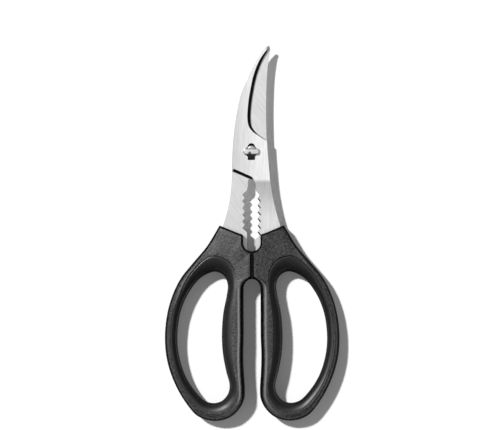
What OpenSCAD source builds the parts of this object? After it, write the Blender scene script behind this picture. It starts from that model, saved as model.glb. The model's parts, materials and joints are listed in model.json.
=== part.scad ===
// Take-apart poultry shears, lying closed on their handles with the tips towards +Y.
// Two curved blades cross at a T-headed stud, and each tang is moulded into a hard
// handle whose finger loop has a soft liner. Millimetres, Z = 0 is the surface they lie on.

/* [Blades] */
// Pivot centre to the blade tips
blade_reach = 57.2; // [50:0.1:66]
// Pivot centre to the top corners of the handles
shank_l = 39.9; // [35:0.1:46]
// Width of the blades to the left of the pivot centre
waist_w = 10.6; // [9:0.1:12]
// Half the width of the two shanks where they enter the handles
shank_w = 15.6; // [14:0.1:16.6]
// Thickness of each blade
blade_t = 1.8; // [1.2:0.1:2.6]
// Gap between the flat faces of the two blades
blade_gap = 0.06; // [0.04:0.02:0.2]
// How far the rear cutting edge runs under the front one at its base
edge_overlap = 2.4; // [1:0.1:3]

/* [Jaws] */
// Height of one tooth along the jaw
tooth_pitch = 3.65; // [3:0.05:3.8]
// Depth of the teeth
tooth_depth = 1.3; // [0.6:0.1:1.6]
// Teeth on the front jaw
front_teeth = 6; // [3:1:6]
// Teeth on the rear jaw
rear_teeth = 5; // [3:1:6]
// Pivot centre down to the first tooth
tooth_start = 25.2; // [24.5:0.1:27]
// How much lower the front jaw's teeth start than the rear jaw's
tooth_stagger = 0.4; // [0:0.1:1]
// Pivot centre down to the lower edge of the blades, at the middle
plate_l = 14.4; // [13:0.1:15.2]
// Half the opening between the tips of the teeth
jaw_gap = 3.4; // [2.6:0.1:4]
// Half the opening between the straight parts below the teeth
throat_gap = 2.3; // [1.8:0.1:2.6]
// How far the opening's middle lies to the right of the pivot
jaw_shift = -0.3; // [-0.6:0.1:0.6]

/* [Pivot] */
// Diameter of the stud's shaft
stud_d = 6.6; // [5:0.1:7.6]
// Length of the stud's T-head
stud_bar_l = 8.9; // [8.4:0.1:11]
// Width of the stud's T-head
stud_bar_w = 3.3; // [2.4:0.1:4]
// Thickness of the stud's T-head
stud_bar_t = 1.5; // [0.8:0.1:2.4]
// Diameter of the stud's neck in the rear blade
stud_neck_d = 4.6; // [3.6:0.1:5]
// Diameter of the riveted head behind the rear blade
rivet_d = 8.4; // [6.6:0.1:10]
// Thickness of the riveted head
rivet_t = 1.1; // [0.6:0.1:1.6]
// Running clearance around the shaft and under the T-head
pivot_fit = 0.05; // [0.02:0.01:0.09]
// Clearance of the keyhole's notches around the T-head
notch_fit = 0.3; // [0.1:0.05:0.5]

/* [Tangs] */
// Length of each tang's wide part inside the handle
tang_l = 16.3; // [14:0.1:18]
// Length of each tang's narrow tail
tail_l = 24.6; // [10:0.1:30]
// Width of each tang's narrow tail
tail_w = 2.8; // [2:0.1:3.2]
// Leg's inner side to the middle of the tail
tail_inset = 2.3; // [1.8:0.1:2.6]
// Length of the taper from each tang's wide part to its tail
tail_taper = 6; // [4:0.1:8]
// Handle corner down to where each tang starts to narrow
taper_start = 9.3; // [8:0.1:10]
// Diameter of the upper locking hole
upper_hole_d = 5; // [3:0.1:6]
// Diameter of the lower locking hole
lower_hole_d = 3.6; // [2:0.1:4]
// Gap between a moulded piece and what it is moulded on
mould_gap = 0.03; // [0.02:0.01:0.08]

/* [Handles] */
// Thickness of the handles
handle_t = 16; // [12:0.1:19]
// Thickness at the outer side of the finger loop
side_t = 11.5; // [10:0.1:14]
// Handle corner down to the top of the finger hole
head_l = 25.1; // [23:0.1:30]
// Length of the finger hole
loop_l = 71.1; // [64:0.1:80]
// Width of the finger hole at its middle
loop_w = 24.1; // [22:0.1:30]
// Width of the loop's outer side
side_w = 6.75; // [6:0.05:9]
// Width of the inner leg at its thickest
leg_w = 11.85; // [11:0.05:14]
// Length of the foot below the finger hole
foot_w = 9.7; // [8.5:0.1:12]
// Gap between the inner legs
leg_gap = 9.2; // [7:0.1:12]
// Gap between the handles where they meet
seam_gap = 0.3; // [0.2:0.05:0.6]
// Length of the seam where the handles meet
seam_l = 14.9; // [12:0.1:17]
// Radius of the round notch above the seam
notch_r = 4.7; // [4:0.1:5.4]
// Handle corner down to the bottom of that notch
notch_l = 14.1; // [12:0.1:15]
// How much lower the top edge is at its inner end
shoulder_drop = 4.8; // [3:0.1:6]
// Height of the arch below the seam
arch_h = 5.4; // [4:0.1:6.5]
// Half the width of both handles at their top corners
shoulder_w = 17.4; // [17:0.1:20]
// Width of the rounding along the head's edges
head_edge_w = 1.2; // [0.8:0.1:2]
// Height of the rounding along the head's edges
head_edge_h = 2.4; // [1:0.1:3]
// Width of the rounding along the leg's inner side
leg_edge_w = 2.8; // [1.6:0.1:3.2]
// Height of the rounding along the leg's inner side
leg_edge_h = 6.4; // [3:0.1:7]
// Width of the rounding round the foot and the loop's outer side
side_edge_w = 4.6; // [2:0.1:6]
// Height of the rounding round the foot and the loop's outer side
side_edge_h = 5; // [3:0.1:5.1]
// Height levelled off the legs' crests, on which the tool lies
crest_flat = 0.15; // [0.1:0.05:0.3]

/* [Liners] */
// Width of the liner above the finger hole
liner_top_w = 8.1; // [6:0.1:9]
// Width of the liner on the inner leg
liner_leg_w = 5.3; // [4:0.1:6]
// Width of the liner at the foot
liner_foot_w = 4.8; // [3:0.1:5.4]
// Width of the liner on the outer side
liner_side_w = 3.6; // [2.6:0.1:3.8]
// Step down from the handle's face to the liner
liner_step = 0.3; // [0.1:0.05:0.6]

/* [Hidden] */

// The blades' faces meet at half the handles' thickness.
meet_z = handle_t / 2;
front_z = meet_z + blade_gap / 2;
rear_z = meet_z - blade_gap / 2 - blade_t;

// Everything is drawn around the pivot, then moved so that Y = 0 is half the length.
handle_l = head_l + loop_l + foot_w;
overall_l = blade_reach + shank_l + handle_l;
pivot_y = overall_l / 2 - blade_reach;
leg_x = leg_gap / 2;
tail_x = leg_x + tail_inset;
hole_x = leg_x + leg_w;
half_w = hole_x + loop_w + side_w;
seam_x = seam_gap / 2;

steel = "#d4d4d2";
hard_plastic = "#55575a";
soft_plastic = "#1e1f21";

// Steps per span of a curve, per quarter of a rounded edge and round a liner's side
span_steps = 4;
edge_steps = 4;
// Width of a leg's crest, a share of the face beside it
crest_w = 0.4;
liner_steps = 10;

// A smooth curve through knots, whose first two numbers are the place and whose
// others are values that ride along it. Its tangents follow the spacing of the knots.
function gap_between(a, b) = sqrt(norm([b[0] - a[0], b[1] - a[1]]) + 1e-6);

function span(p, q, r, s, f) =
    let (a = gap_between(p, q), b = gap_between(q, r), c = gap_between(r, s))
    let (m = (r - q) + b * ((q - p) / a - (r - p) / (a + b)))
    let (n = (r - q) + b * ((s - r) / c - (s - q) / (b + c)))
    (2 * f ^ 3 - 3 * f ^ 2 + 1) * q + (f ^ 3 - 2 * f ^ 2 + f) * m
    + (3 * f ^ 2 - 2 * f ^ 3) * r + (f ^ 3 - f ^ 2) * n;

function curve(knots, steps = span_steps) =
    let (last = len(knots) - 1)
    let (k = concat([2 * knots[0] - knots[1]], knots, [2 * knots[last] - knots[last - 1]]))
    [for (i = [1:last], j = [0:steps - 1]) span(k[i - 1], k[i], k[i + 1], k[i + 2], j / steps),
     knots[last]];

function ring_at(knots, t) =
    let (n = len(knots), i = floor(t), f = t - i)
    span(knots[(i - 1 + n) % n], knots[i % n], knots[(i + 1) % n], knots[(i + 2) % n], f);

// Knots given as shares of a width and a length, at their real size
function sized(knots, w, l) = [for (k = knots) [k[0] * w, k[1] * l]];

function mirrored(path) = [for (i = [len(path) - 1:-1:0]) [-path[i][0], path[i][1]]];

// The direction that moves a corner of an anticlockwise path inwards
function inward(path, i) =
    let (n = len(path), p = path[(i - 1 + n) % n], q = path[i], r = path[(i + 1) % n])
    let (a = [q[0] - p[0], q[1] - p[1]], b = [r[0] - q[0], r[1] - q[1]])
    let (u = [-a[1], a[0]] / norm(a), v = [-b[1], b[0]] / norm(b))
    (u + v) / (1 + u * v);

function grown(path, d) = [for (i = [0:len(path) - 1]) path[i] - d * inward(path, i)];

// ---- Blades ----

// The front blade from its base corner up the cutting edge, round the tip and down the
// spine, in shares of the waist's width and the blade's reach
cut_knots = [[0.811, 0.105], [0.406, 0.156], [0.151, 0.199], [0.009, 0.243], [-0.04, 0.309],
             [0, 0.446], [0.113, 0.58], [0.302, 0.731], [0.575, 0.862], [0.868, 0.958]];
tip_knots = [[0.955, 0.982], [0.962, 0.994], [0.91, 1], [0.84, 0.995]];
spine_knots = [[0.637, 0.958], [0.4, 0.894], [0.142, 0.808], [-0.17, 0.69], [-0.509, 0.542],
               [-0.703, 0.392], [-0.84, 0.241], [-0.93, 0.089], [-0.985, -0.061], [-0.985, -0.183]];

// The rear blade's spine and tip, then its base below the cutting edge
rear_spine_knots = [[0.85, -0.14], [0.79, 0.105], [0.765, 0.33], [0.78, 0.56], [0.83, 0.75],
                    [0.91, 0.88], [0.985, 0.96], [0.975, 0.978], [0.93, 0.982]];
rear_base_knots = [[-0.27, 0.243], [-0.41, 0.199], [-0.64, 0.156], [-0.9, 0.112]];

// How far each shank has flared from the waist to its full width, at shares of its length
front_flare = [[0, -0.15], [0.03, -0.02], [0.11, 0.15], [0.24, 0.414], [0.44, 0.63], [0.7, 0.83],
               [1, 1.01]];
rear_flare = [[-0.13, -0.16], [-0.06, 0.03], [0, 0.21], [0.03, 0.36], [0.17, 0.576], [0.38, 0.73],
              [0.69, 0.885], [1, 1.01]];

function flared(flare, w) = [for (k = flare) [w + k[0] * (shank_w - w), -k[1] * shank_l]];

// Corner between the blade's lower edge and its jaw, from the middle of that edge
front_corner = [[-0.6, -0.4], [0.3, -0.7], [0.9, -1], [1.6, -1.8], [2.1, -3.2], [2.25, -5], [2.6, -7]];
rear_corner = [[-0.6, 0.8], [0.6, 0], [1.6, -0.8], [1.95, -2.2], [2, -5], [2.5, -6.6]];

// Inner edge of a right-hand shank, from under the pivot down to the tang
function jaw_edge(corner, mid, start, teeth) =
    let (tip = mid + jaw_gap, root = tip + tooth_depth, end = start + teeth * tooth_pitch)
    concat(curve([for (c = corner) [c[0], c[1] - plate_l]], 2),
           [[root, tooth_pitch / 2 - start]],
           [for (i = [0:teeth - 1], k = [0, 1]) [k == 0 ? tip : root, -start - (i + k / 2) * tooth_pitch]],
           [[mid + throat_gap, -end - 0.4], [mid + throat_gap, -shank_l - tang_l]]);

// A right-hand tang inside its handle, from its inner edge round to its outer edge
function tang_edge() =
    let (w = tail_w / 2, top = -shank_l - tang_l, end = top - tail_l)
    [[tail_x - w, top - tail_taper - 2], for (a = [180:30:360]) [tail_x + w * cos(a), end + w * sin(a)],
     [tail_x + w, top - tail_taper], [tail_x + 3 * w, top], [shank_w - w, -shank_l - taper_start]];

front_waist = cut_knots[0][0] * waist_w;
front_shank = curve(flared([for (i = [len(front_flare) - 1:-1:0]) front_flare[i]], front_waist));
front_edge = curve(sized(concat(cut_knots, tip_knots, spine_knots), waist_w, blade_reach));
front_outline = concat(front_shank, [for (i = [1:len(front_edge) - 1]) front_edge[i]],
    jaw_edge(front_corner, jaw_shift, tooth_start + tooth_stagger / 2, front_teeth), tang_edge());

// The rear cutting edge from the tip down, further under the front one towards its base
rear_cut = [for (i = [len(cut_knots) - 1:-1:4]) let (k = cut_knots[i])
    [k[0] * waist_w - edge_overlap * (1.25 - k[1]), k[1] * blade_reach]];
rear_edge = curve(concat(sized(rear_spine_knots, waist_w, blade_reach), rear_cut,
                         sized(rear_base_knots, waist_w, blade_reach)));
rear_shank = curve(flared(rear_flare, waist_w - 0.05));
rear_outline = concat(rear_edge,
    mirrored(concat(jaw_edge(rear_corner, -jaw_shift, tooth_start - tooth_stagger / 2, rear_teeth),
                    tang_edge(), [for (i = [len(rear_shank) - 1:-1:1]) rear_shank[i]])));

module placed() {
    translate([0, pivot_y, 0]) children();
}

// Round bore for the stud's shaft with two notches that pass the T-head at a right angle
module keyhole() {
    reach = stud_bar_l / 2 + pivot_fit;
    half = stud_bar_w / 2 + notch_fit;
    foot = half - notch_fit;
    translate([0, 0, front_z - blade_t]) {
        cylinder(d = stud_d + 2 * pivot_fit, h = 3 * blade_t, $fn = 64);
        translate([0, reach - half, 0]) cylinder(r = half, h = 3 * blade_t, $fn = 48);
        linear_extrude(3 * blade_t) polygon([[-half, reach - half], [-half, notch_fit - reach],
            [-foot, -reach], [foot, -reach], [half, notch_fit - reach], [half, reach - half]]);
    }
}

// Holes through a right-hand tang, which the handle's plastic fills
module locking_holes(gap) {
    translate([(notch_r + shank_w) / 2 - 1, -shank_l - upper_hole_d - 1.6, 0])
        cylinder(d = upper_hole_d - 2 * gap, h = handle_t, $fn = 48);
    translate([tail_x - tail_w / 2 + 1.1, 1.5 - shank_l - tang_l, 0])
        cylinder(d = lower_hole_d - 2 * gap, h = handle_t, $fn = 48);
}

module front_blade() {
    placed() color(steel) difference() {
        translate([0, 0, front_z]) linear_extrude(blade_t) polygon(front_outline);
        keyhole();
        locking_holes(0);
    }
}

module rear_blade() {
    placed() color(steel) difference() {
        translate([0, 0, rear_z]) linear_extrude(blade_t) polygon(rear_outline);
        translate([0, 0, rear_z - blade_t])
            cylinder(d = stud_neck_d + 2 * mould_gap, h = 3 * blade_t, $fn = 64);
        mirror([1, 0, 0]) locking_holes(0);
    }
}

// ---- Pivot ----

module pivot_stud() {
    shaft_z = rear_z + blade_t;
    bar_z = front_z + blade_t + pivot_fit;
    side = stud_bar_l / 2 - stud_bar_w / 2;
    placed() color(steel) union() {
        translate([0, 0, shaft_z]) cylinder(d = stud_d, h = bar_z + stud_bar_t / 2 - shaft_z, $fn = 64);
        translate([0, 0, rear_z - rivet_t / 2]) cylinder(d = stud_neck_d, h = blade_t + rivet_t, $fn = 64);
        translate([0, 0, rear_z - rivet_t])
            cylinder(d1 = rivet_d - 2 * rivet_t, d2 = rivet_d, h = rivet_t, $fn = 64);
        translate([-side, -stud_bar_w / 2, bar_z]) cube([2 * side, stud_bar_w, stud_bar_t]);
        for (s = [-1, 1])
            translate([s * side, 0, bar_z]) cylinder(d = stud_bar_w, h = stud_bar_t, $fn = 48);
    }
}

// ---- Handles, drawn right-handed and mirrored for the rear one ----

// The finger hole, anticlockwise from its top: shares of its width and its length, how
// far the handle has thinned towards the side's thickness at the facing edge and at the
// liner, and how far beyond the liner's outer edge the top of its rounding would lie
hole_knots = [
    [0.18, 0, 1.1, 1, 3], [0.035, 0.01, 0.25, 0.8, 2.6], [-0.077, 0.042, 0.05, 0.6, 2.4],
    [-0.139, 0.103, 0, 0.4, 2.4], [-0.114, 0.18, 0, 0.3, 2.5], [-0.035, 0.314, 0, 0.25, 2.5],
    [0, 0.482, 0, 0.25, 2.5], [-0.019, 0.616, 0, 0.25, 2.5], [-0.093, 0.757, 0.02, 0.25, 2.3],
    [-0.168, 0.862, 0.1, 0.3, 1.9], [-0.131, 0.93, 0.4, 0.55, 1.4], [0.006, 0.983, 0.8, 0.85, 0.9],
    [0.18, 1, 1.1, 1.05, 0.6], [0.376, 0.983, 1.22, 1.15, 0.5], [0.595, 0.911, 1.27, 1.2, 0.4],
    [0.811, 0.797, 1.27, 1.2, 0.4], [0.952, 0.654, 1.27, 1.2, 0.4], [1, 0.511, 1.27, 1.2, 0.4],
    [0.936, 0.321, 1.2, 1.2, 0.5], [0.757, 0.169, 1.1, 1.15, 0.9], [0.479, 0.049, 1.15, 1.1, 2.2]];
// The liner's width beside each of those knots
liner_widths = concat([1, 0.95, 0.74] * liner_top_w, [0.75, 0.78, 0.92, 1, 0.96, 0.83] * liner_leg_w,
                      [0.81, 0.88, 1, 1, 0.96, 0.9] * liner_foot_w,
                      [1.08, 1, 1, 1.08, 1.14] * liner_side_w, [0.69 * liner_top_w]);

head_edge = [head_edge_w, head_edge_h];
leg_edge = [leg_edge_w, leg_edge_h];
side_edge = [side_edge_w, side_edge_h];

// The handle's outside below the arch, anticlockwise: a share of the width from the leg's
// line, a share of the length, the hole's knot that it faces, and the edge's rounding
outside_knots = [
    [0, 0.457, 5.1, leg_edge], [0, 0.57, 6.1, leg_edge], [0.007, 0.665, 7.15, leg_edge],
    [0.001, 0.75, 8.05, leg_edge], [-0.012, 0.84, 9.3, leg_edge], [-0.004, 0.885, 10, leg_edge],
    [0.056, 0.936, 10.6, (leg_edge + side_edge) / 2],
    [0.183, 0.982, 11.2, (leg_edge + 2 * side_edge) / 3],
    [0.372, 1, 12, side_edge], [0.583, 0.976, 13.1, side_edge], [0.747, 0.901, 14, side_edge],
    [0.888, 0.797, 15, side_edge], [0.974, 0.688, 16, side_edge], [1, 0.575, 17, side_edge],
    [0.97, 0.452, 18, side_edge], [0.895, 0.35, 18.9, (3 * side_edge + head_edge) / 4],
    [0.792, 0.268, 19.5, (side_edge + head_edge) / 2],
    [0.63, 0.187, 20.1, (side_edge + 3 * head_edge) / 4], [0.461, 0.106, 20.6, head_edge]];

function half_t(share) = (handle_t + (side_t - handle_t) * share) / 2;

// Rows of x, y, half the thickness at the edge and at the liner, and the liner's lean
hole_ring = [for (k = hole_knots)
    [hole_x + k[0] * loop_w, -shank_l - head_l - k[1] * loop_l, half_t(k[2]), half_t(k[3]), k[4]]];
liner_ring = [for (i = [0:len(hole_ring) - 1])
    [hole_ring[i][0], hole_ring[i][1]] - liner_widths[i] * inward(hole_ring, i)];

// The handle's outline as points [x, y, facing knot, edge width, edge height], anticlockwise
// from the top corner: the top edge, the notch and the seam, then round the arch and the loop
function handle_path() =
    let (in_y = -shank_l - shoulder_drop, mid_y = notch_r - shank_l - notch_l)
    let (arch_y = -shank_l - notch_l - seam_l - arch_h, full = 90 - asin(seam_x / notch_r))
    concat(
        [for (i = [0:3]) let (f = i / 4)
            [shoulder_w + (notch_r + 1 - shoulder_w) * f, -shank_l - shoulder_drop * f, 0.88 * f,
             each head_edge]],
        [[notch_r + 1.1, in_y + 0.25, 0.86, each head_edge],
         [notch_r + 0.4, in_y - 0.1, 0.9, each head_edge],
         [notch_r + 0.1, in_y - 0.8, 0.95, each head_edge]],
        [for (i = [0:6]) let (a = -full * i / 6)
            [notch_r * cos(a), mid_y + notch_r * sin(a), 1.2 + i / 12, each head_edge]],
        [for (i = [1:3]) [seam_x, -shank_l - notch_l - i * seam_l / 4, 1.7 + 0.22 * i, each head_edge]],
        [for (i = [0:6]) let (a = 90 - 15 * i)
            [seam_x + (leg_x - seam_x) * cos(a), arch_y + arch_h * sin(a), 2.6 + i / 7,
             each head_edge + (leg_edge - head_edge) * i / 6]],
        curve([[leg_x, arch_y - 2, 3.7, each leg_edge],
               for (k = outside_knots)
                   [leg_x + k[0] * (half_w - leg_x), -shank_l - k[1] * handle_l, k[2], each k[3]],
               [shoulder_w + 0.3, -shank_l - 0.5, 20.95, each head_edge]]));

// A closed ring of like sections, each a closed list of points
module ring_solid(sections) {
    n = len(sections);
    m = len(sections[0]);
    polyhedron([for (s = sections) each s],
        [for (i = [0:n - 1], j = [0:m - 1])
            let (a = i * m + j, b = i * m + (j + 1) % m)
            let (c = (i + 1) % n * m + j, d = (i + 1) % n * m + (j + 1) % m)
            each [[a, c, d], [a, d, b]]]);
}

// Half a handle's section at outline point p, from the liner out to the edge: rows of the
// distance from the outline and the height above the middle
function half_section(p, face_w, ring) =
    let (w = p[3], h = p[4], first = min(w, 0.85 * face_w), start = asin(1 - first / w))
    let (lift = ring[3] - ring[2] + h * (1 - cos(asin(max(0, 1 - face_w / w)))))
    let (rows = [for (i = [0:edge_steps]) let (a = start + (90 - start) * i / edge_steps)
        let (d = w * (1 - sin(a))) [d, lift * d / face_w - h * (1 - cos(a))]])
    let (top = max([for (r = rows) r[1]]), crest = min(handle_t / 2, ring[2]) + crest_flat)
    let (face = first + crest_w * (face_w - first))
    [for (r = concat([[face, rows[0][1] + lift * (face - first) / face_w]], rows))
        [r[0], min(handle_t / 2, crest + r[1] - top)]];

// The hard handle without its tang: a ring with rounded outer edges around the liner
module handle_shell() {
    path = handle_path();
    n = edge_steps + 1;
    ring_solid([for (i = [0:len(path) - 1])
        let (p = path[i], q = inward(path, i))
        let (ring = ring_at(hole_ring, p[2]), b = ring_at(liner_ring, p[2]))
        let (half = half_section(p, norm([b[0] - p[0], b[1] - p[1]]), ring))
        let (edge = [for (k = half) [p[0] + k[0] * q[0], p[1] + k[0] * q[1]]])
        let (at = concat([edge[1] + crest_w * ([b[0], b[1]] - edge[1])], [for (j = [1:n]) edge[j]]))
        [[b[0], b[1], meet_z + ring[3]],
         for (j = [0:n]) [at[j][0], at[j][1], meet_z + half[j][1]],
         for (j = [n:-1:0]) [at[j][0], at[j][1], meet_z - half[j][1]],
         [b[0], b[1], meet_z - ring[3]]]]);
}

// The soft lining of a finger loop, rounded towards the finger
module loop_liner() {
    n = liner_steps / 2;
    ring_solid([for (p = handle_path())
        let (ring = ring_at(hole_ring, p[2]), b = ring_at(liner_ring, p[2]))
        let (w = [ring[0] - b[0], ring[1] - b[1]], lean = ring[4] / norm(w))
        let (start = asin(lean / (1 + lean)), s = mould_gap / norm(w))
        let (h = (ring[3] - liner_step) / cos(start))
        [for (i = [-n:n])
            let (a = start + (90 - start) * (1 - abs(i) / n), u = (1 + lean) * sin(a) - lean)
            [b[0] + w[0] * (s + (1 - s) * u), b[1] + w[1] * (s + (1 - s) * u),
             meet_z + sign(i) * h * cos(a)]]]);
}

// A right-hand handle moulded over a tang that lies at height z
module moulded_handle(tang, z) {
    difference() {
        handle_shell();
        difference() {
            translate([0, 0, z - mould_gap]) linear_extrude(blade_t + 2 * mould_gap)
                polygon(grown(tang, mould_gap));
            locking_holes(mould_gap);
        }
    }
}

module front_handle() {
    placed() color(hard_plastic) moulded_handle(front_outline, front_z);
}

module rear_handle() {
    placed() color(hard_plastic) mirror([1, 0, 0]) moulded_handle(mirrored(rear_outline), rear_z);
}

module front_loop_liner() {
    placed() color(soft_plastic) loop_liner();
}

module rear_loop_liner() {
    placed() color(soft_plastic) mirror([1, 0, 0]) loop_liner();
}

rear_blade();
front_blade();
pivot_stud();
rear_handle();
front_handle();
rear_loop_liner();
front_loop_liner();
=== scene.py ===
import json
import math

import bmesh
import bpy
import numpy as np
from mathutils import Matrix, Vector
from mathutils.geometry import tessellate_polygon


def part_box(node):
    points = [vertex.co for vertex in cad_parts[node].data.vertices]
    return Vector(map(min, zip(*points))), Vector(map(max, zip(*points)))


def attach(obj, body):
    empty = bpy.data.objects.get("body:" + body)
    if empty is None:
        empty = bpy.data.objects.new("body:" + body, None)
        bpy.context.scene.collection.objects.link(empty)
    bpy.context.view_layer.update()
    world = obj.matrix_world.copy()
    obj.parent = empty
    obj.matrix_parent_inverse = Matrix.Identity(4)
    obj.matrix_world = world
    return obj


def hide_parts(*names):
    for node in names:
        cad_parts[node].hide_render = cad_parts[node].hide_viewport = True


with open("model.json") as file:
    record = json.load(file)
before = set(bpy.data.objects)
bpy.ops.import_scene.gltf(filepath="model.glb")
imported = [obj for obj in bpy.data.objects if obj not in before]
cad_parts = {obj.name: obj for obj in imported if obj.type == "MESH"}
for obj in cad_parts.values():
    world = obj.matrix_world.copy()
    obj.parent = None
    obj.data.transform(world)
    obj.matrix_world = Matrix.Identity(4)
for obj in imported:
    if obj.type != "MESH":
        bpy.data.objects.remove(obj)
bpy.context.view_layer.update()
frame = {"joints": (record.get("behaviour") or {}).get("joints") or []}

# ---- Rear blade ----
# The lower blade: one plate of stainless steel, stamped, then ground flat where the
# other blade slides on it and ground at an angle below its cutting edge. Its tang runs
# on into the left handle, and two holes in the tang lock it into the plastic.
pivot = Vector(frame["joints"][0]["pos_m"]) * 1000
blade_low, blade_high = (corner * 1000 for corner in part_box("front_blade"))
rear_low, rear_high = (corner * 1000 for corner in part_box("rear_blade"))
head_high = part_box("front_handle")[1] * 1000
blade_reach = blade_high.y - pivot.y
shank_l = pivot.y - head_high.y
shank_w = blade_high.x
waist_w = 10.6
edge_overlap = 2.4
tooth_pitch, tooth_depth, tooth_start, tooth_stagger = 3.65, 1.3, 25.2, 0.4
jaw_gap, throat_gap, jaw_shift, plate_l = 3.4, 2.3, -0.3, 14.4
tang_l, taper_start, tail_w, tail_x = 16.3, 9.3, 2.8, 6.9
tail_l = pivot.y - shank_l - tang_l - tail_w / 2 - rear_low.y

# Widths and depths ground off an edge: only its burr, a jaw's edge, a tooth's lower
# flank, a cutting edge
BURR = (0.12, 0.12)
JAW = (0.15, 0.15)
FLANK = (0.75, 0.8)
CUT = (1.65, 1.05)


def span(p, q, r, s, f):
    """The point at share f between knots q and r of a smooth curve through p, q, r and s."""
    a, b, c = (math.sqrt(math.dist(u[:2], v[:2]) + 1e-6) for u, v in ((p, q), (q, r), (r, s)))
    start = (r - q) + b * ((q - p) / a - (r - p) / (a + b))
    end = (r - q) + b * ((s - r) / c - (s - q) / (b + c))
    return ((2 * f**3 - 3 * f**2 + 1) * q + (f**3 - 2 * f**2 + f) * start
            + (3 * f**2 - 2 * f**3) * r + (f**3 - f**2) * end)


def curve(knots, steps=10):
    """An open smooth curve through knots. Values after x and y ride along it."""
    k = [np.array(row, float) for row in knots]
    k = [2 * k[0] - k[1], *k, 2 * k[-1] - k[-2]]
    points = [span(*k[i - 1:i + 3], j / steps) for i in range(1, len(k) - 2) for j in range(steps)]
    return [*points, k[-2]]


def mirrored(path):
    """A path on the other side of the tool, still anticlockwise."""
    return [np.array([-row[0], *row[1:]]) for row in reversed(path)]


def inward(path):
    """For each corner of an anticlockwise path, the direction that moves it inwards."""
    p = np.array([row[:2] for row in path])
    a, b = p - np.roll(p, 1, 0), np.roll(p, -1, 0) - p
    u = np.stack([-a[:, 1], a[:, 0]], 1) / np.linalg.norm(a, axis=1)[:, None]
    v = np.stack([-b[:, 1], b[:, 0]], 1) / np.linalg.norm(b, axis=1)[:, None]
    # A sharp corner would move too far without this limit
    least = 0.35
    return (u + v) / (1 + (u * v).sum(1))[:, None].clip(least)


def flared(flare, w):
    """A shank's outer edge: how far it has flared from width w at shares of its length."""
    return [(w + f * (shank_w - w), -s * shank_l, *BURR) for f, s in flare]


def jaw_edge(corner, mid, start, teeth):
    """Inner edge of a right-hand shank, from under the pivot down to the tang. Only the
    lower flank of each tooth is ground wide."""
    tip, root, throat = mid + jaw_gap, mid + jaw_gap + tooth_depth, mid + throat_gap
    rows = curve([(x, y - plate_l, *(ground or JAW)) for x, y, *ground in corner], 6)
    rows.append((root, tooth_pitch / 2 - start, *JAW))
    flank = ((tip, 0, JAW), (tip, 0.01, FLANK), (root, 0.49, FLANK), (root, 0.5, JAW))
    for i in range(teeth):
        rows += [(x, -start - (i + share) * tooth_pitch, *edge) for x, share, edge in flank]
    end = -start - teeth * tooth_pitch
    rows += [(throat, end - 0.4, *JAW), (throat, end - 2, *BURR)]
    return [*rows, (throat, -shank_l - tang_l, *BURR)]


def tang_edge():
    """A right-hand tang inside its handle, from its inner edge round to its outer edge."""
    w, top = tail_w / 2, -shank_l - tang_l
    inner_drop, outer_drop, root_w = 8, 6, 3 * w
    rows = [(tail_x - w, top - inner_drop)]
    for a in range(180, 361, 15):
        turn = math.radians(a)
        rows.append((tail_x + w * math.cos(turn), top - tail_l + w * math.sin(turn)))
    rows += [(tail_x + w, top - outer_drop), (tail_x + root_w, top),
             (shank_w - w, -shank_l - taper_start)]
    return [(*row, *BURR) for row in rows]


def ring(x, y, r, steps=48):
    """A round hole's edge."""
    turns = [2 * math.pi * i / steps for i in range(steps)]
    return [(x + r * math.cos(t), y + r * math.sin(t)) for t in turns]


def band(low, high):
    """The quads between two rings of corners."""
    n = len(low)
    return [(low[j], low[(j + 1) % n], high[(j + 1) % n], high[j]) for j in range(n)]


def ground_plate(name, outline, holes, mating_z, outer_z):
    """A closed plate. Its outline's rows are x, y and the width and depth ground off the
    edge of its outer face. The edge of its mating face and the holes lose only their burr.
    Edges ground wider than a tooth's flank take the plate's third steel, painted near-black as
    shade and dark reflection."""
    up = 1 if outer_z > mating_z else -1
    burr = BURR[0] / 2
    loops = []
    verts = []
    for i, path in enumerate([outline, *holes]):
        xy = np.array([row[:2] for row in path])
        into = inward(path) if i == 0 else -inward(path)
        w, h = (np.array([row[2:4] for row in path]).T if i == 0
                else (np.full(len(path), burr), np.full(len(path), burr)))
        levels = [(burr, mating_z + 0 * w), (0, mating_z + up * burr + 0 * w),
                  (0, outer_z - up * h), (w[:, None], outer_z + 0 * w)]
        rows = []
        for inset, z in levels:
            rows.append(range(len(verts), len(verts) + len(path)))
            verts += [(x, y, level) for (x, y), level in zip(xy + into * inset, z)]
        loops.append(rows)
    faces = [quad for rows in loops for low, high in zip(rows, rows[1:])
             for quad in band(low, high)]
    for level in (0, 3):
        ids = [j for rows in loops for j in rows[level]]
        flat = [[Vector(verts[j]) for j in rows[level]] for rows in loops]
        faces += [tuple(ids[j] for j in face) for face in tessellate_polygon(flat)]
    made = piece(name, verts, faces, 25)
    # The outline's third band of quads is its ground edge
    for j, row in enumerate(outline):
        if min(row[2], outline[(j + 1) % len(outline)][2]) > FLANK[0]:
            made.data.polygons[2 * len(outline) + j].material_index = 2
    return made


def piece(name, verts, faces, sharp):
    """A closed shell drawn around the pivot in millimetres, made a piece in the frame.
    Edges sharper than that angle stay crisp."""
    mesh = bpy.data.meshes.new(name)
    place = np.array([0, pivot.y, 0])
    mesh.from_pydata([tuple((np.array(v) + place) / 1000) for v in verts], [], faces)
    tidy = bmesh.new()
    tidy.from_mesh(mesh)
    bmesh.ops.recalc_face_normals(tidy, faces=tidy.faces)
    tidy.to_mesh(mesh)
    tidy.free()
    mesh.shade_smooth()
    mesh.set_sharp_from_angle(angle=math.radians(sharp))
    made = bpy.data.objects.new(name, mesh)
    bpy.context.scene.collection.objects.link(made)
    return made


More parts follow.
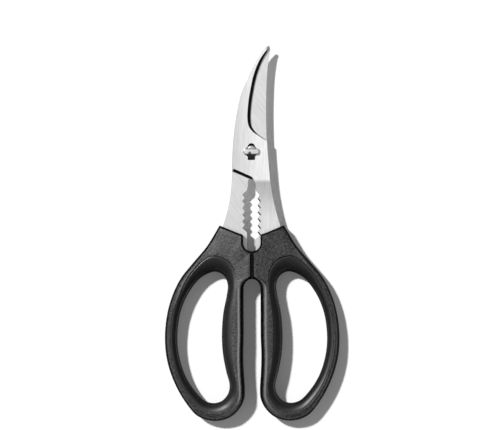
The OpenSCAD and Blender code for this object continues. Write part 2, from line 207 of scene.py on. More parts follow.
# Front cutting edge from its base corner to the tip, as shares of the waist's width and
# the reach, with the width and depth ground off it
cut_knots = [(0.811, 0.105, 0.4, 0.4), (0.406, 0.156, 0.65, 0.6), (0.151, 0.199, 1, 0.85),
             (0.009, 0.243, 1.4, 1), (-0.04, 0.309, *CUT), (0, 0.446, *CUT), (0.113, 0.58, *CUT),
             (0.302, 0.731, *CUT), (0.575, 0.862, 1.4, 1), (0.868, 0.958, 0.7, 0.6)]


def sized(knots):
    """Knots given as shares of the waist's width and the blade's reach, at their real size."""
    return [(k[0] * waist_w, k[1] * blade_reach, *(k[2:] or BURR)) for k in knots]


rear_spine = [(0.85, -0.14), (0.79, 0.105), (0.765, 0.33), (0.78, 0.56), (0.83, 0.75),
              (0.91, 0.88), (0.985, 0.96), (0.975, 0.978), (0.93, 0.982)]
rear_base = [(-0.27, 0.243), (-0.41, 0.199), (-0.64, 0.156), (-0.9, 0.112)]
rear_flare = [(-0.13, -0.16), (-0.06, 0.03), (0, 0.21), (0.03, 0.36), (0.17, 0.576), (0.38, 0.73),
              (0.69, 0.885), (1, 1.01)]
rear_corner = [(-0.6, 0.8), (0.6, 0), (1.6, -0.8), (1.95, -2.2), (2, -5), (2.5, -6.6)]
# The rear cutting edge lies under the front one, deepest at its base
rear_cut = [(x * waist_w - edge_overlap * (1.25 - y), y * blade_reach, *CUT)
            for x, y, *_ in cut_knots[:3:-1]]
rear_edge = curve(sized(rear_spine) + rear_cut + sized(rear_base))
rear_shank = curve(flared(rear_flare, waist_w - 0.05))
rear_inner = jaw_edge(rear_corner, -jaw_shift, tooth_start - tooth_stagger / 2, 5)
locking_holes = [(9.15, -shank_l - 6.6, 2.5), (6.6, -shank_l - tang_l + 1.5, 1.8)]
stud_neck_d = 4.6

rear_blade = ground_plate(
    "rear_blade_ground", rear_edge + mirrored(rear_inner + tang_edge() + rear_shank[:0:-1]),
    [ring(0, 0, stud_neck_d / 2 + 0.03), *(ring(-x, y, r) for x, y, r in locking_holes)],
    rear_high.z, rear_low.z)


def new_group(name, inputs, outputs):
    """An empty node group with those named sockets, and its input and output nodes."""
    group = bpy.data.node_groups.new(name, "ShaderNodeTree")
    for label, kind, value in inputs:
        socket = group.interface.new_socket(label, in_out="INPUT", socket_type=kind)
        if value is not None:
            socket.default_value = value
    for label, kind in outputs:
        group.interface.new_socket(label, in_out="OUTPUT", socket_type=kind)
    return group, group.nodes.new("NodeGroupInput"), group.nodes.new("NodeGroupOutput")


def add(tree, kind, settings=(), **inputs):
    """A node with its properties set. Each input is a value or another node's output, and
    i0, i1 and so on are sockets by their number."""
    node = tree.nodes.new("ShaderNode" + kind)
    for key, value in settings:
        setattr(node, key, value)
    for label, value in inputs.items():
        socket = node.inputs[int(label[1:]) if label[1:].isdigit() else label.replace("_", " ")]
        if isinstance(value, bpy.types.NodeSocket):
            tree.links.new(value, socket)
        else:
            socket.default_value = value
    return node


def maths(tree, operation, *values, kind="Math"):
    """The result of one operation on numbers, or on vectors where kind is VectorMath."""
    inputs = {f"i{i}": value for i, value in enumerate(values)}
    return add(tree, kind, [("operation", operation)], **inputs).outputs[0]


def multiplied(tree, one, other):
    """Two colours multiplied."""
    settings = [("data_type", "RGBA"), ("blend_type", "MULTIPLY")]
    return add(tree, "Mix", settings, i0=1.0, i6=one, i7=other).outputs[2]


def turned_into(tree, share, one, other):
    """One colour turning into another by that share."""
    return add(tree, "Mix", [("data_type", "RGBA")], i0=share, i6=one, i7=other).outputs[2]


def ramp(tree, value, *stops):
    """A colour ramp over value. Each stop is a place and a grey."""
    node = add(tree, "ValToRGB", i0=value)
    elements = node.color_ramp.elements
    while len(elements) < len(stops):
        elements.new(0.5)
    for element, (place, grey) in zip(elements, stops):
        element.position = place
        element.color = (grey, grey, grey, 1)
    return node.outputs["Color"]


def grind_group():
    """Fine scratches that a belt leaves along one direction, with longer uneven strokes."""
    inputs = [("Position", "NodeSocketVector", None), ("Angle", "NodeSocketFloat", 0.0),
              ("Across", "NodeSocketFloat", 5200.0), ("Along", "NodeSocketFloat", 160.0)]
    group, given, result = new_group("belt_grinding", inputs, [
        ("Scratches", "NodeSocketFloat"), ("Strokes", "NodeSocketFloat")])
    out = given.outputs
    turned = add(group, "VectorRotate", [("rotation_type", "Z_AXIS")], Vector=out["Position"],
                 Angle=out["Angle"]).outputs[0]
    for label, shrink, detail in (("Scratches", 1.0, 3.0), ("Strokes", 0.28, 2.0)):
        across = maths(group, "MULTIPLY", out["Across"], shrink)
        along = maths(group, "MULTIPLY", out["Along"], shrink)
        scale = add(group, "CombineXYZ", X=across, Y=along, Z=along).outputs[0]
        stretched = maths(group, "MULTIPLY", turned, scale, kind="VectorMath")
        noise = add(group, "TexNoise", Vector=stretched, Scale=1.0, Detail=detail, Roughness=0.6)
        group.links.new(noise.outputs["Fac"], result.inputs[label])
    return group


belt_grinding = grind_group()


def spot_distance_group():
    """How far a point lies from the middle of a darkened spot, as a share of its reach."""
    inputs = [("Position", "NodeSocketVector", None), ("Centre", "NodeSocketVector", None),
              ("Reach", "NodeSocketFloat", 0.005)]
    group, given, result = new_group("distance_from_spot", inputs, [("Spread", "NodeSocketFloat")])
    out = given.outputs
    apart = maths(group, "SUBTRACT", out["Position"], out["Centre"], kind="VectorMath")
    level = maths(group, "MULTIPLY", apart, (1, 1, 0), kind="VectorMath")
    away = add(group, "VectorMath", [("operation", "LENGTH")], i0=level).outputs["Value"]
    group.links.new(maths(group, "DIVIDE", away, out["Reach"]), result.inputs["Spread"])
    return group


distance_from_spot = spot_distance_group()


def new_material(name):
    """A material, its node tree and its shader."""
    material = bpy.data.materials.new(name)
    material.use_nodes = True
    return material, material.node_tree, material.node_tree.nodes["Principled BSDF"]


def ground_steel(name, angle, tone, rough, scratch, dark_spot=None, bands=()):
    """Belt-ground stainless steel. A dark spot, if given, is a place, a radius and a tone painted
    darker into the colour. Each band is an axis, where it starts and ends, and how bright the steel
    is painted along it."""
    material, tree, shader = new_material(name)
    position = add(tree, "TexCoord").outputs["Object"]
    grain = add(tree, "Group", [("node_tree", belt_grinding)], Position=position,
                Angle=math.radians(angle)).outputs
    low, high = tone
    fine = ramp(tree, grain["Scratches"], (0.32, 0.86), (0.68, 1.0))
    broad = ramp(tree, grain["Strokes"], (0.3, low), (0.7, high))
    colour = multiplied(tree, broad, fine)
    # A spot painted darker into the colour, fading out past its radius
    if dark_spot:
        (x, y), radius, spot_tone = dark_spot
        spread_to = 1.4
        spot_reach = add(tree, "Group", [("node_tree", distance_from_spot)], Position=position,
                   Centre=(x, y, 0), Reach=radius * spread_to)
        edge = ramp(tree, spot_reach.outputs["Spread"], (0.62, spot_tone), (0.78, 1.0))
        colour = multiplied(tree, colour, edge)
    # Each band paints the steel brighter or darker along one axis
    for axis, start, end, stops in bands:
        along = add(tree, "SeparateXYZ", Vector=position).outputs[axis]
        place = add(tree, "MapRange", Value=along, From_Min=start, From_Max=end)
        colour = multiplied(tree, colour, ramp(tree, place.outputs[0], *stops))
    tree.links.new(colour, shader.inputs["Base Color"])
    uneven = 0.07
    spread = add(tree, "MapRange", Value=grain["Scratches"], To_Min=rough - uneven,
                 To_Max=rough + uneven)
    tree.links.new(spread.outputs[0], shader.inputs["Roughness"])
    bump = add(tree, "Bump", Strength=scratch, Distance=0.00003, Height=grain["Scratches"])
    tree.links.new(bump.outputs[0], shader.inputs["Normal"])
    shader.inputs["Metallic"].default_value = 0.9
    return material


# The belt crosses the mating face at a slant; painted shade darkens it round the stud, where it
# lies deep in the keyhole's notches.
flat_steel = ground_steel(
    "slant_ground_steel", angle=-38, tone=(0.62, 0.7), rough=0.42, scratch=0.6,
    dark_spot=((pivot.x / 1000, pivot.y / 1000), 0.0054, 0.03))
edge_steel = ground_steel("edge_ground_steel", angle=-70, tone=(0.4, 0.5), rough=0.35, scratch=0.6)
# A near-black steel: painted shade and dark reflection on broad ground edges and under the T-head
shade_painted_steel = ground_steel("shade_painted_edge_steel", angle=-60, tone=(0.03, 0.06), rough=0.3, scratch=0.5)


def finish_steel(plate, flat):
    """The flat faces get one steel, the broad ground edges the one painted near-black as shade and
    dark reflection, and the rest of the edges a third."""
    for steel in (flat, edge_steel, shade_painted_steel):
        plate.data.materials.append(steel)
    level = 0.98
    for face in plate.data.polygons:
        if face.material_index == 0 and abs(face.normal.z) < level:
            face.material_index = 1


finish_steel(rear_blade, flat_steel)
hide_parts("rear_blade")
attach(rear_blade, "rear_half")

# ---- Pivot stud ----
# One turned steel stud: a riveted head behind the rear blade, a shaft that the front
# blade turns on, and a T-head pressed flat on two sides. The T-head passes the front
# blade's keyhole only at a right angle to the closed position, which parts the halves.
stud_low, stud_high = (corner * 1000 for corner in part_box("pivot_stud"))
stud_d, bar_l, bar_w, bar_t = 6.6, stud_high.x - stud_low.x, 3.3, 1.5
rivet_d, rivet_t = stud_high.y - stud_low.y, 1.1
bar_z = stud_high.z - bar_t


def stud_shaft():
    """The turned part, from the rivet head up to a shoulder in the keyhole and a neck under the
    T-head. The shoulder is dull, and its lower half is painted near-black as the T-head's shadow."""
    rivet, neck, shaft, stem = rivet_d / 2, stud_neck_d / 2, stud_d / 2, bar_w / 2
    shoulder = bar_z - 0.9
    profile = [
        (0, stud_low.z), (rivet - rivet_t, stud_low.z), (rivet - 0.5, stud_low.z + 0.35),
        (rivet - 0.1, stud_low.z + 0.75), (rivet, rear_low.z - 0.02), (neck, rear_low.z - 0.02),
        (neck, rear_high.z), (shaft, rear_high.z), (shaft, shoulder - 0.3),
        (shaft - 0.12, shoulder - 0.1), (shaft - 0.4, shoulder), (stem - 0.05, shoulder),
        (stem - 0.1, bar_z + 0.3), (0, bar_z + 0.3)]
    steps = 64
    verts = []
    for r, z in profile:
        verts += [(x, y, z) for x, y in ring(0, 0, r, steps)] if r else [(0, 0, z)]
    rings = [range(1 + i * steps, 1 + (i + 1) * steps) for i in range(len(profile) - 2)]
    faces = [quad for low, high in zip(rings, rings[1:]) for quad in band(low, high)]
    for end, rim in ((0, rings[0]), (len(verts) - 1, rings[-1])):
        faces += [(end, rim[j], rim[(j + 1) % steps]) for j in range(steps)]
    made = piece("pivot_stud_shaft", verts, faces, 40)
    # The shoulder's lower half takes the near-black steel: painted shadow of the T-head
    for face in made.data.polygons:
        if abs(face.center.z * 1000 - shoulder) < 0.05:
            face.material_index = 1 if face.center.y * 1000 > pivot.y else 2
    return made


def stud_bar():
    """The T-head: a bar with blunt round ends and a rounded rim."""
    half, side, steps, blunt = bar_w / 2, (bar_l - bar_w) / 2, 16, 0.6
    turns = [math.pi * (i / steps - 0.5) for i in range(steps + 1)]
    path = [(side + half * math.cos(t) ** blunt, half * math.sin(t)) for t in turns]
    path += [(-x, -y) for x, y in path]
    levels = [(0.25, 0), (0, 0.25), (0, 0.85), (0.05, 1.08), (0.16, 1.25), (0.34, 1.4),
              (0.6, 1.48), (0.9, bar_t)]
    verts = []
    for inset, height in levels:
        verts += [(x + u * inset, y + v * inset, bar_z + height)
                  for (x, y), (u, v) in zip(path, inward(path))]
    n = len(path)
    rings = [range(i * n, (i + 1) * n) for i in range(len(levels))]
    faces = [quad for low, high in zip(rings, rings[1:]) for quad in band(low, high)]
    for rim in (rings[0], rings[-1]):
        faces += [tuple(rim[j] for j in face)
                  for face in tessellate_polygon([[Vector(verts[j]) for j in rim]])]
    return piece("pivot_stud_bar", verts, faces, 40)


# A painted dark reflection sits on the T-head, below and left of its middle.
turned_steel = ground_steel(
    "turned_steel", angle=0, tone=(0.8, 0.93), rough=0.24, scratch=0.25,
    dark_spot=((pivot.x / 1000 - 0.0009, pivot.y / 1000 - 0.0009), 0.0009, 0.2))
for part in (stud_shaft(), stud_bar()):
    for steel in (turned_steel, edge_steel, shade_painted_steel):
        part.data.materials.append(steel)
    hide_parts("pivot_stud")
    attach(part, "rear_half")

# ---- Front blade ----
# The upper blade, of the same steel: brushed lengthwise on its outer face, ground along its cutting
# edge and its lower edge, which are painted near-black as shade and dark reflection, with a keyhole
# that turns on the stud.
tip_knots = [(0.955, 0.982, 0.5, 0.5), (0.962, 0.994, 0.4, 0.4), (0.91, 1, 0.3, 0.3), (0.84, 0.995)]
spine_knots = [(0.637, 0.958), (0.4, 0.894), (0.142, 0.808), (-0.17, 0.69), (-0.509, 0.542),
               (-0.703, 0.392), (-0.84, 0.241), (-0.93, 0.089), (-0.985, -0.061), (-0.985, -0.15),
               (-0.985, -0.183)]
front_flare = [(0, -0.15), (0.03, -0.02), (0.11, 0.15), (0.24, 0.414), (0.44, 0.63), (0.7, 0.83),
               (1, 1.01)]
# The plate's lower edge from its corner on the spine, then the jaw's throat above the teeth
foot_x, foot_y = (share * size for share, size in zip(spine_knots[-1], (waist_w, blade_reach)))
front_corner = [(foot_x + 0.25, plate_l + foot_y - 0.1, 1.5, 1), (-3.6, 0.9, 1.5, 1),
                (-0.6, -0.4, 1.4, 1), (0.3, -0.7, 1, 0.85), (0.9, -1, 0.4, 0.4), (1.6, -1.8),
                (2.1, -3.2), (2.25, -5), (2.6, -7)]
front_shank = curve(flared(front_flare[::-1], cut_knots[0][0] * waist_w))
front_edge = [(x, min(y, blade_reach), w, h)
              for x, y, w, h in curve(sized(cut_knots + tip_knots + spine_knots))]
front_inner = jaw_edge(front_corner, jaw_shift, tooth_start + tooth_stagger / 2, 6)


def keyhole():
    """The bore on the stud's shaft, with a round notch above and a tapered one below."""
    play, slack, taper, steps = 0.05, 0.3, 0.3, 25
    bore, reach, half = stud_d / 2 + play, bar_l / 2 + play, bar_w / 2 + slack
    side = math.acos(half / bore)
    rows = [(bore * math.cos(a), bore * math.sin(a)) for a in np.linspace(-side, side, steps)]
    for a in range(12, 169, 12):
        turn = math.radians(a)
        rows.append((half * math.cos(turn), reach - half + half * math.sin(turn)))
    rows += [(-x, y) for x, y in rows[steps - 1::-1]]
    foot = half - taper
    return [*rows, (-half, taper - reach), (-foot, -reach), (foot, -reach), (half, taper - reach)]


front_blade = ground_plate(
    "front_blade_ground", front_shank + front_edge[1:] + front_inner + tang_edge(),
    [keyhole(), *(ring(*hole) for hole in locking_holes)], blade_low.z, blade_high.z)
# Its tip is darker, painted shade darkens it towards its spine, and a painted dark reflection
# crosses the shank as a band.
brushed_steel = ground_steel(
    "lengthwise_brushed_steel", angle=4, tone=(0.77, 0.87), rough=0.42, scratch=0.35,
    dark_spot=((0.0142, 0.1008), 0.006, 0.35),
    bands=[("X", -0.016, 0.004, ((0, 0.65), (0.35, 0.74), (1, 1))),
           ("Y", 0.008, 0.03, ((0, 0.88), (0.3, 0.78), (0.6, 0.62), (0.89, 0.55), (0.975, 1)))])
finish_steel(front_blade, brushed_steel)
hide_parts("front_blade")
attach(front_blade, "front_half")

# ---- Rear handle ----
# The left handle: hard nylon moulded over the rear blade's tang. Its spark-textured faces
# round over into smooth sides, it thins from the head and the leg to the loop's outer
# side, and its seam face stops the closing blades.
handle_low, handle_high = (corner * 1000 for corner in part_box("front_handle"))
handle_l, half_w = handle_high.y - handle_low.y, handle_high.x
handle_t, side_t, meet_z = handle_high.z, 11.5, handle_high.z / 2
head_l, loop_l, loop_w, leg_w = 25.1, 71.1, 24.1, 11.85
leg_x, seam_x, seam_l, arch_h = 4.6, 0.05, 14.9, 5.4
notch_r, notch_l, shoulder_drop, shoulder_w = 4.7, 14.1, 4.8, 17.4
hole_x = leg_x + leg_w

# The width and the height of the rounding along an edge
HEAD_EDGE, LEG_EDGE, SIDE_EDGE = np.array((1.2, 2.4)), np.array((2.8, 6.4)), np.array((4.6, 5))

# The finger hole, anticlockwise from its top: shares of its width and its length, how far
# the handle has thinned towards the side's thickness at the facing edge and at the liner,
# how far beyond the liner's outer edge the top of its rounding would lie, and how much of
# a groove parts the two
hole_knots = [
    (0.18, 0, 1.1, 1, 3, 1), (0.035, 0.01, 0.25, 0.8, 2.6, 1),
    (-0.077, 0.042, 0.05, 0.6, 2.4, 0.7), (-0.139, 0.103, 0, 0.4, 2.4, 0.3),
    (-0.114, 0.18, 0, 0.3, 2.5, 0.1), (-0.035, 0.314, 0, 0.25, 2.5, 0),
    (0, 0.482, 0, 0.25, 2.5, 0), (-0.019, 0.616, 0, 0.25, 2.5, 0),
    (-0.093, 0.757, 0.02, 0.25, 2.3, 0), (-0.168, 0.862, 0.1, 0.3, 1.9, 0),
    (-0.131, 0.93, 0.4, 0.55, 1.4, 0), (0.006, 0.983, 0.8, 0.85, 0.9, 0.1),
    (0.18, 1, 1.1, 1.05, 0.6, 0.2), (0.376, 0.983, 1.22, 1.15, 0.5, 0.3),
    (0.595, 0.911, 1.27, 1.2, 0.4, 0.4), (0.811, 0.797, 1.27, 1.2, 0.4, 0.4),
    (0.952, 0.654, 1.27, 1.2, 0.4, 0.4), (1, 0.511, 1.27, 1.2, 0.4, 0.4),
    (0.936, 0.321, 1.2, 1.2, 0.5, 0.6), (0.757, 0.169, 1.1, 1.15, 0.9, 1),
    (0.479, 0.049, 1.15, 1.1, 2.2, 1)]
# The liner's width at each of those knots
liner_widths = [8.1, 7.7, 6, 3.98, 4.13, 4.88, 5.3, 5.09, 4.4, 3.89, 4.22, 4.8, 4.8, 4.61, 4.32,
                3.89, 3.6, 3.6, 3.89, 4.1, 5.59]

# The outside below the arch, anticlockwise: a share of the width from the leg's line, a
# share of the length, the hole's knot that it faces and the edge's rounding
MIXED_EDGE = (SIDE_EDGE + HEAD_EDGE) / 2
outside_knots = [
    (0, 0.457, 5.1, LEG_EDGE), (0, 0.57, 6.1, LEG_EDGE), (0.007, 0.665, 7.15, LEG_EDGE),
    (0.001, 0.75, 8.05, LEG_EDGE), (-0.012, 0.84, 9.3, LEG_EDGE), (-0.004, 0.885, 10, LEG_EDGE),
    (0.056, 0.936, 10.6, (LEG_EDGE + SIDE_EDGE) / 2),
    (0.183, 0.982, 11.2, (LEG_EDGE + 2 * SIDE_EDGE) / 3), (0.372, 1, 12, SIDE_EDGE),
    (0.583, 0.976, 13.1, SIDE_EDGE), (0.747, 0.901, 14, SIDE_EDGE), (0.888, 0.797, 15, SIDE_EDGE),
    (0.974, 0.688, 16, SIDE_EDGE), (1, 0.575, 17, SIDE_EDGE), (0.97, 0.452, 18, SIDE_EDGE),
    (0.895, 0.35, 18.9, (SIDE_EDGE + MIXED_EDGE) / 2), (0.792, 0.268, 19.5, MIXED_EDGE),
    (0.63, 0.187, 20.1, (MIXED_EDGE + HEAD_EDGE) / 2), (0.461, 0.106, 20.6, HEAD_EDGE)]


def half_t(share):
    """Half the handle's thickness where it has thinned by that share."""
    return (handle_t + (side_t - handle_t) * share) / 2


# Rows of x, y, half the thickness at the edge and at the liner, the lean and the groove
hole_ring = [np.array((hole_x + x * loop_w, -shank_l - head_l - y * loop_l,
                       half_t(edge), half_t(seat), lean, groove))
             for x, y, edge, seat, lean, groove in hole_knots]
hole_into = inward([p[:2] for p in hole_ring])
liner_ring = [p[:2] - w * q for p, w, q in zip(hole_ring, liner_widths, hole_into)]


def ring_at(knots, t):
    """The point at knot number t of a closed smooth curve."""
    n, i = len(knots), math.floor(t)
    return span(*(knots[(i + k) % n] for k in (-1, 0, 1, 2)), t - i)


def handle_path():
    """A right-hand handle's outline from its top corner, anticlockwise, as rows of x, y,
    the hole's knot that it faces and the width and height of its edge's rounding."""
    in_y, mid_y = -shank_l - shoulder_drop, notch_r - shank_l - notch_l
    arch_y = -shank_l - notch_l - seam_l - arch_h
    right, full = math.pi / 2, math.pi / 2 - math.asin(seam_x / notch_r)
    # The sloping shoulder, its rounded corner, the notch under the jaws and the seam
    rows = [(shoulder_w + (notch_r + 1 - shoulder_w) * f, -shank_l - shoulder_drop * f, 0.88 * f)
            for f in np.arange(8) / 8]
    rows += curve([(notch_r + 1.3, in_y + 0.25, 0.84), (notch_r + 0.45, in_y - 0.1, 0.9),
                   (notch_r + 0.05, in_y - 0.9, 0.95), (notch_r, mid_y + 1, 1.1)], 5)
    rows += [(notch_r * math.cos(a), mid_y - notch_r * math.sin(a), 1.2 + 0.5 * a / full)
             for a in np.linspace(0, full, 20)]
    rows += [(seam_x, -shank_l - notch_l - f * seam_l, 1.7 + 0.88 * f)
             for f in np.linspace(0.08, 0.95, 6)]
    rows = [(*row, *HEAD_EDGE) for row in rows]
    # The arch, then the leg, the foot and the loop's outer side back up to the shoulder
    for a in np.linspace(right, 0, 16):
        edge = LEG_EDGE + (HEAD_EDGE - LEG_EDGE) * a / right
        rows.append((seam_x + (leg_x - seam_x) * math.cos(a), arch_y + arch_h * math.sin(a),
                     3.46 - 0.86 * a / right, *edge))
    outside = [(leg_x + x * (half_w - leg_x), -shank_l - y * handle_l, t, *edge)
               for x, y, t, edge in outside_knots]
    return rows + curve([(leg_x, arch_y - 2, 3.7, *LEG_EDGE), *outside,
                         (shoulder_w + 0.3, -shank_l - 0.5, 20.95, *HEAD_EDGE)])


# The lip beside the liner, its drop to the groove, a crest's flat, and the share of a face
# that may round over
lip_w, lip_drop, crest_flat, round_share = 0.32, 0.5, 0.15, 0.85


def half_section(w, h, face_w, top, seat):
    """Half a handle's section, from near the liner out to the edge: rows of the distance from the
    outline, the height above the middle, and how far it is a smooth side, painted darker as shade."""
    steep_from, steep_over, rim_w, rim_fade = 1, 0.8, 1.35, 0.5

    def height(d):
        return -h * (1 - math.sqrt(1 - max(0, 1 - d / w) ** 2))

    lift = seat - top - height(face_w)
    first = min(w, round_share * face_w)
    start = math.asin(1 - first / w)
    away = [*np.linspace(face_w - lip_w, first, 9)[:-1],
            *(w * (1 - math.sin(a)) for a in np.linspace(start, math.pi / 2, 16))]
    rows = [(d, height(d) + lift * d / face_w) for d in away]
    rise = min(handle_t / 2, top) + crest_flat - max(z for _, z in rows)
    slopes = [abs((z1 - z0) / (d0 - d1)) for (d0, z0), (d1, z1) in zip(rows, rows[1:])]
    slopes.append(slopes[-1])
    # A side is smooth, and painted darker as shade, where it is steep, and always within a narrow
    # rim
    return [(d, min(handle_t / 2, z + rise),
             min(1, max(0, (slope - steep_from) / steep_over, (rim_w - d) / rim_fade)))
            for (d, z), slope in zip(rows, slopes)]


def loft(sections, name, sharp, hand):
    """A closed ring of like sections, each a list of x, y, z, how far it is a smooth side, painted
    darker as shade, and how far a highlight is painted on it."""
    n, m = len(sections), len(sections[0])
    verts = [(hand * p[0], p[1], p[2]) for section in sections for p in section]
    rings = [range(i * m, (i + 1) * m) for i in range(n)]
    faces = [quad for i in range(n) for quad in band(rings[i], rings[(i + 1) % n])]
    made = piece(name, verts, faces, sharp)
    for k, label in ((3, "smooth_shaded_side"), (4, "painted_crest_highlight")):
        values = made.data.attributes.new(label, "FLOAT", "POINT")
        values.data.foreach_set("value", [p[k] for section in sections for p in section])
    return made


def handle(name, hand):
    """A hard handle, with the liner's seat all round the finger hole."""
    path = handle_path()
    # The lip's section: shares of its width from the seat, and of its drop to the groove
    lip_steps, lip_smooth = ((0, 1), (0.12, 0.3), (0.45, 0.08)), 0.6
    bed, side_dip, highlight_in, highlight_w = 0.02, 0.05, 2.7, 0.5
    sections = []
    for (x, y, t, w, h), q in zip(path, inward([row[:2] for row in path])):
        seat, (_, _, top, seat_h, _, groove) = ring_at(liner_ring, t), ring_at(hole_ring, t)
        out = np.array((x, y))
        face_w = np.linalg.norm(out - seat)
        rows = half_section(w, h, face_w, top, seat_h)
        across = (out - seat) / face_w
        lip_h = rows[0][1]
        # In the groove the lip counts partly as smooth side, so painted shade darkens the crease
        upper = [(*(seat + across * away * lip_w), lip_h - lip_drop * drop * groove - bed,
                  lip_smooth * groove, 0) for away, drop in lip_steps]
        # A highlight is painted along the legs' crests; the head's and the outer side's get none
        first = min(w, round_share * face_w)
        lip, turn = seat + across * lip_w, out + q * first
        highlight_share = max(0, (h - SIDE_EDGE[1]) / (LEG_EDGE[1] - SIDE_EDGE[1]))
        for d, z, smooth in rows:
            spot = out + q * d
            if d > first:
                spot = turn + (lip - turn) * (d - first) / (face_w - lip_w - first)
            upper.append((*spot, z, smooth, highlight_share * math.exp(-((d - highlight_in) / highlight_w) ** 2)))
        lower = [(px, py, meet_z - z, *look) for px, py, z, *look in reversed(upper)]
        upper = [(px, py, meet_z + z, *look) for px, py, z, *look in upper]
        sections.append([*upper, (*(out + q * side_dip), meet_z, 1, 0), *lower])
    return loft(sections, name, 50, hand)


def texture_group():
    """Spark-eroded texture: fine pits, with softer blotches."""
    inputs = [("Position", "NodeSocketVector", None), ("Pit size", "NodeSocketFloat", 0.0004)]
    group, given, result = new_group("spark_texture", inputs, [
        ("Pits", "NodeSocketFloat"), ("Blotches", "NodeSocketFloat")])
    out = given.outputs
    fineness = maths(group, "DIVIDE", 1.0, out["Pit size"])
    pits = add(group, "TexNoise", Vector=out["Position"], Scale=fineness, Detail=3.0,
               Roughness=0.65)
    blotches = add(group, "TexNoise", Vector=out["Position"], Scale=260.0, Detail=3.0)
    group.links.new(pits.outputs["Fac"], result.inputs["Pits"])
    group.links.new(blotches.outputs["Fac"], result.inputs["Blotches"])
    return group


spark_texture = texture_group()


def moulded(name, shine, pit, face, side, rough, side_rough, relief):
    """A moulded plastic: its gloss, its pits' size, the tones of its textured faces and of its
    smooth sides, which are painted darker as shade where steep, how rough each is, and how deep the
    texture is."""
    material, tree, shader = new_material(name)
    position = add(tree, "TexCoord").outputs["Object"]
    grain = add(tree, "Group", [("node_tree", spark_texture)], Position=position,
                Pit_size=pit).outputs
    smooth = add(tree, "Attribute", [("attribute_name", "smooth_shaded_side")]).outputs["Fac"]
    crest = add(tree, "Attribute", [("attribute_name", "painted_crest_highlight")]).outputs["Fac"]
    low, high = face
    # The paler grey on the legs' crests is a painted highlight
    highlight_grey, plain = (0.2, 0.2, 0.2, 1), (side, side, side * 1.05, 1)
    smooth_relief = 0.12
    tone = ramp(tree, grain["Pits"], (0.4, low), (0.6, high))
    patchy = multiplied(tree, tone, ramp(tree, grain["Blotches"], (0.3, 0.86), (0.7, 1.0)))
    crest_highlighted = turned_into(tree, crest, patchy, highlight_grey)
    # Steep sides take the darker plain tone: smooth plastic, with painted shade
    tree.links.new(turned_into(tree, smooth, crest_highlighted, plain), shader.inputs["Base Color"])
    matt = add(tree, "MapRange", Value=smooth, To_Min=rough, To_Max=side_rough)
    tree.links.new(matt.outputs[0], shader.inputs["Roughness"])
    shader.inputs["Specular IOR Level"].default_value = shine
    depth = add(tree, "MapRange", Value=smooth, To_Min=1.0, To_Max=smooth_relief)
    height = maths(tree, "MULTIPLY", grain["Pits"], depth.outputs[0])
    bump = add(tree, "Bump", Strength=relief, Distance=0.0002, Height=height)
    tree.links.new(bump.outputs[0], shader.inputs["Normal"])
    return material


hard_nylon = {"pit": 0.0009, "face": (0.001, 0.055), "side": 0.004, "rough": 0.5,
              "side_rough": 0.42, "relief": 1}
hard_finish = (moulded("textured_hard_plastic", 0.55, **hard_nylon),
               moulded("smooth_hard_plastic", 0.01, **hard_nylon))


def finish_moulding(made, face_and_side):
    """The first plastic goes on the faces, the second where they are more side than face."""
    for plastic in face_and_side:
        made.data.materials.append(plastic)
    smooth = made.data.attributes["smooth_shaded_side"].data
    for face in made.data.polygons:
        if sum(smooth[v].value for v in face.vertices) > 0.5 * len(face.vertices):
            face.material_index = 1


def fit_handle(name, hand, body, node):
    """A handle in its material, in place of its CAD node."""
    made = handle(name, hand)
    finish_moulding(made, hard_finish)
    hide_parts(node)
    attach(made, body)


fit_handle("rear_handle_moulded", -1, "rear_half", "rear_handle")

# ---- Front handle ----
# The right handle: the same nylon moulding, mirrored, over the front blade's tang. Its
# seam face meets the other handle's when the blades are closed.
fit_handle("front_handle_moulded", 1, "front_half", "front_handle")

# ---- Loop liners ----
# The finger loops' linings: soft black rubber moulded into the hard handles. A narrow
# groove parts the two above the hole, and the lining rounds over towards the fingers.
liner_step, groove_depth, groove_w, liner_fullness = 0.3, 0.3, 0.4, 0.35


def liner(name, hand):
    """One loop's lining, from the groove beside the handle round to the finger hole."""
    flush, smooth_from, smooth_over = 0.04, 0.45, 0.3
    sections = []
    for _, _, t, *_ in handle_path():
        seat, (x, y, _, h, lean, groove) = ring_at(liner_ring, t), ring_at(hole_ring, t)
        across = np.array((x, y)) - seat
        width = np.linalg.norm(across)
        lean /= width
        start = math.asin(lean / (1 + lean))
        rim_h = h - flush - (liner_step - flush) * groove
        full = 1 - (1 - groove) * liner_fullness
        upper = []
        for v in (*np.arange(0, 0.06, 0.01), *np.arange(0.08, 0.98, 0.06), 0.985, 1):
            a = start + (math.pi / 2 - start) * v
            u = (1 + lean) * math.sin(a) - lean
            rise = rim_h * (math.cos(a) / math.cos(start)) ** full
            rise -= groove_depth * groove * math.exp(-(u * width / groove_w) ** 2)
            smooth = min(1, max(0, (v - smooth_from) / smooth_over))
            upper.append((*(seat + across * u), rise, smooth, 0))
        lower = [(px, py, meet_z - z, *look) for px, py, z, *look in upper[-2::-1]]
        sections.append([(px, py, meet_z + z, *look) for px, py, z, *look in upper] + lower)
    return loft(sections, name, 60, hand)


soft_rubber = {"pit": 0.0006, "face": (0.005, 0.014), "side": 0.005, "rough": 0.42,
               "side_rough": 0.4, "relief": 0.12}
soft_finish = (moulded("soft_rubber", 0.5, **soft_rubber),
               moulded("smooth_soft_rubber", 0.02, **soft_rubber))
for name, hand, body, node in (("rear_liner_soft", -1, "rear_half", "rear_loop_liner"),
                               ("front_liner_soft", 1, "front_half", "front_loop_liner")):
    lining = liner(name, hand)
    finish_moulding(lining, soft_finish)
    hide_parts(node)
    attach(lining, body)

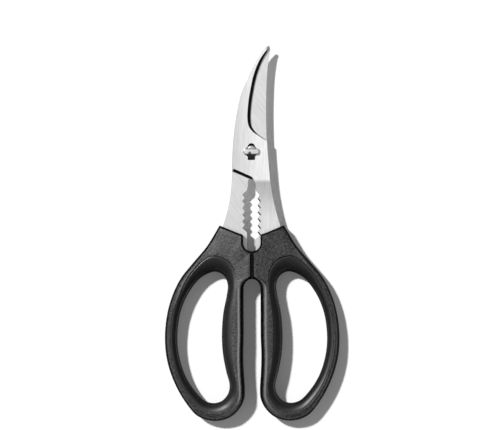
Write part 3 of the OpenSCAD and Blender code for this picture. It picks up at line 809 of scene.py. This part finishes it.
# ---- Floor, light and camera ----
# A plain white table under the shears, one hard lamp from the upper left, a pale room
# with light overhead, and a camera with a long lens straight above.
floor_mesh = bpy.data.meshes.new("table")
reach, table_z = 3.0, -0.00005
corners = ((-reach, -reach), (reach, -reach), (reach, reach), (-reach, reach))
floor_mesh.from_pydata([(x, y, table_z) for x, y in corners], [], [(0, 1, 2, 3)])
floor = bpy.data.objects.new("table", floor_mesh)
bpy.context.scene.collection.objects.link(floor)


def seen_by(tree, *rays):
    """1 for those kinds of ray and 0 for any other."""
    path = add(tree, "LightPath").outputs
    share = path[rays[0]]
    for ray in rays[1:]:
        share = maths(tree, "ADD", share, path[ray])
    return share


paper, sheet, coat = new_material("white_table")
coat.inputs["Base Color"].default_value = (0.95, 0.95, 0.95, 1)
coat.inputs["Roughness"].default_value = 1.0
coat.inputs["Specular IOR Level"].default_value = 0.0
coat.inputs["Emission Color"].default_value = (1, 1, 1, 1)
glow = 0.065
seen = seen_by(sheet, "Is Camera Ray", "Is Glossy Ray", "Is Transmission Ray")
sheet.links.new(maths(sheet, "MULTIPLY", seen, glow), coat.inputs["Emission Strength"])
floor_mesh.materials.append(paper)

lamp_data = bpy.data.lights.new("window_lamp", "SUN")
lamp_data.energy = 3.42
lamp_data.angle = math.radians(4)
lamp = bpy.data.objects.new("window_lamp", lamp_data)
light_way = Vector((0.53, -0.49, -1))
lamp.rotation_euler = light_way.to_track_quat("-Z", "Y").to_euler()
bpy.context.scene.collection.objects.link(lamp)

room = bpy.data.worlds.new("pale_room")
bpy.context.scene.world = room
room.use_nodes = True
sky = room.node_tree
background = sky.nodes["Background"]
up = add(sky, "SeparateXYZ", Vector=add(sky, "TexCoord").outputs["Generated"]).outputs["Z"]
# What steel reflects: the white surroundings low down, a dim room and a pale ceiling
ceiling = ramp(sky, up, (0.03, 1.0), (0.12, 0.02), (0.4, 0.02), (0.75, 0.08), (0.97, 0.75))
dim, white = (0.19, 0.19, 0.19, 1), (1, 1, 1, 1)
lit = turned_into(sky, seen_by(sky, "Is Glossy Ray"), dim, ceiling)
seen = seen_by(sky, "Is Camera Ray", "Is Transmission Ray")
shown = turned_into(sky, seen, lit, white)
sky.links.new(shown, background.inputs["Color"])

camera_data = bpy.data.cameras.new("camera")
camera_data.lens = 185
camera_data.sensor_width = 36
camera = bpy.data.objects.new("camera", camera_data)
camera.location = (-0.0009, 0.0100, 1.4)
camera.rotation_euler = (0, 0, math.radians(-0.26))
bpy.context.scene.collection.objects.link(camera)
bpy.context.scene.camera = camera
bpy.context.scene.view_settings.view_transform = "Standard"
